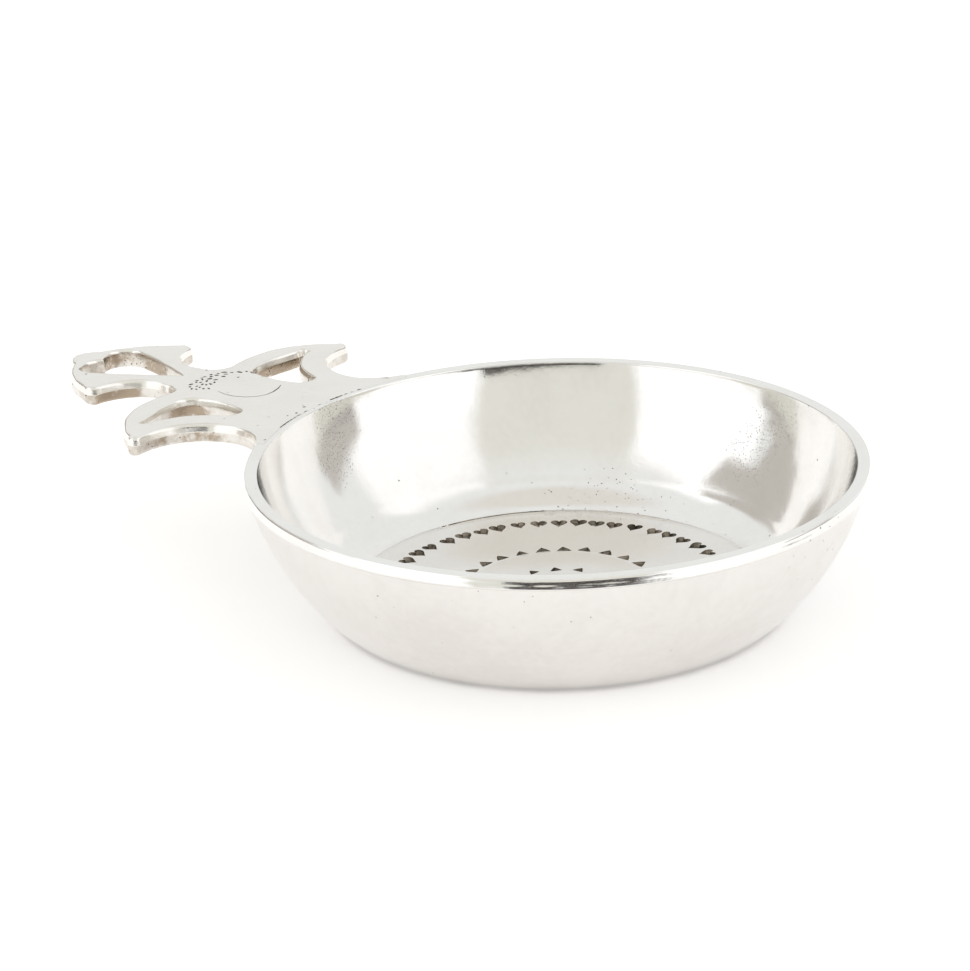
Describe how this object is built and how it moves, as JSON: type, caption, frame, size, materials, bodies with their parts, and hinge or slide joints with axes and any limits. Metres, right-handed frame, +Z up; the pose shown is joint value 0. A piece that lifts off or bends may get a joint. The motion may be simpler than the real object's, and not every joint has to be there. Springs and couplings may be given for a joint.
{
  "type": "wine tasting cup",
  "caption": "Shallow round pewter tasting bowl with flaring walls and one flat pierced trefoil ear soldered level with its rim.",
  "frame": {"origin": "middle of the flat base, on the surface the cup stands on", "axes": "+Z up along the axis the bowl is turned about, -X out along the ear, the cup mirrored across the XZ plane"},
  "size_m": [0.1578, 0.104, 0.025],
  "materials": {
    "pewter_bowl": "turned and polished pewter, softly worn",
    "pewter_ear": "cast pewter, filed and polished",
    "solder": "soft solder, dull"
  },
  "bodies": {
    "root": {"bowl": "pewter_bowl", "ear": "pewter_ear", "solder_fillet": "solder"}
  },
  "joints": []
}
